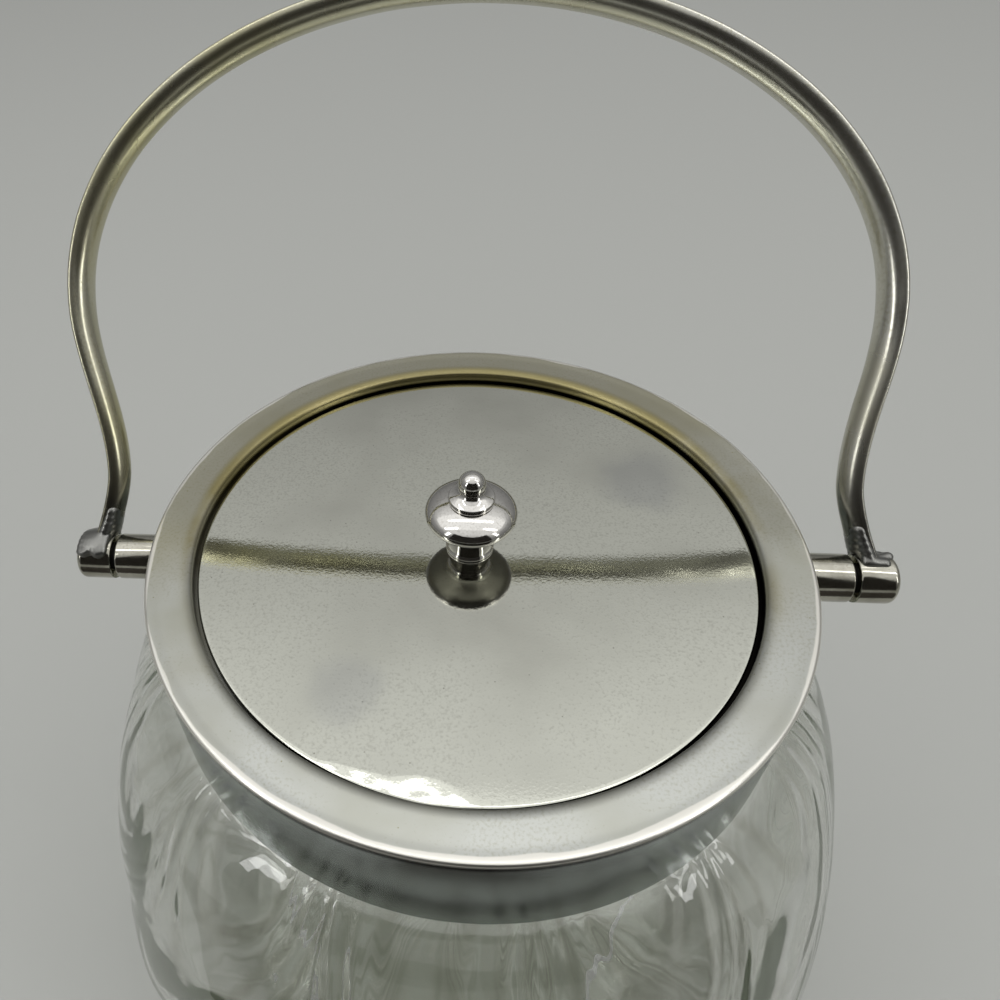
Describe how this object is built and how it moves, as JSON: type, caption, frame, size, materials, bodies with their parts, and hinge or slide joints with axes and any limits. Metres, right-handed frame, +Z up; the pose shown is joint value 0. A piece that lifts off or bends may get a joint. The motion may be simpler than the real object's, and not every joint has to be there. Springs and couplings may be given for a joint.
{
  "type": "biscuit jar",
  "caption": "Glass biscuit jar with a silver-plated collar, a drop-in lid with a turned knob and a swing bail handle pivoted on side trunnions.",
  "frame": {"origin": "centre of the jar's base, on the surface that it stands on", "axes": "+Z up, X along the bail's pivot line, -Y the front; at rest the bail leans back towards +Y"},
  "size_m": [0.178, 0.178, 0.2308],
  "materials": {
    "clear_glass": "clear pressed glass, polished",
    "plaster": "dry plaster",
    "collar_plate": "silver plate, satin worn",
    "lid_plate": "silver plate, finely pitted",
    "knob_plate": "silver plate, polished",
    "bail_plate": "silver plate, satin worn",
    "hub_plate": "silver plate, polished",
    "solder": "dull grey soft solder",
    "spacer_dark": "blackened washer",
    "steel_pin": "drawn wire",
    "brass": "turned"
  },
  "bodies": {
    "jar": {"glass_jar": "clear_glass", "plaster_bedding": "plaster", "collar": "collar_plate", "boss_left": "hub_plate", "boss_right": "hub_plate", "spacer_left": "spacer_dark", "spacer_right": "spacer_dark", "pin_washer_left": "brass", "pin_washer_right": "brass"},
    "lid": {"lid_plate": "lid_plate", "lid_flange": "lid_plate", "knob": "knob_plate", "knob_stud": "brass", "knob_washer": "brass", "knob_nut": "brass"},
    "handle": {"bail": "bail_plate", "hub_left": "hub_plate", "hub_right": "hub_plate", "solder_left": "solder", "solder_right": "solder", "pin_left": "steel_pin", "pin_right": "steel_pin"}
  },
  "joints": [
    {"name": "lid_lift", "type": "slide", "parent": "jar", "child": "lid", "axis": [0, 0, 1], "range_m": [0, 0.06]},
    {"name": "handle_swing", "type": "hinge", "parent": "jar", "child": "handle", "pos_m": [0, 0, 0.1438], "axis": [1, 0, 0], "range_deg": [-88, 160]}
  ]
}
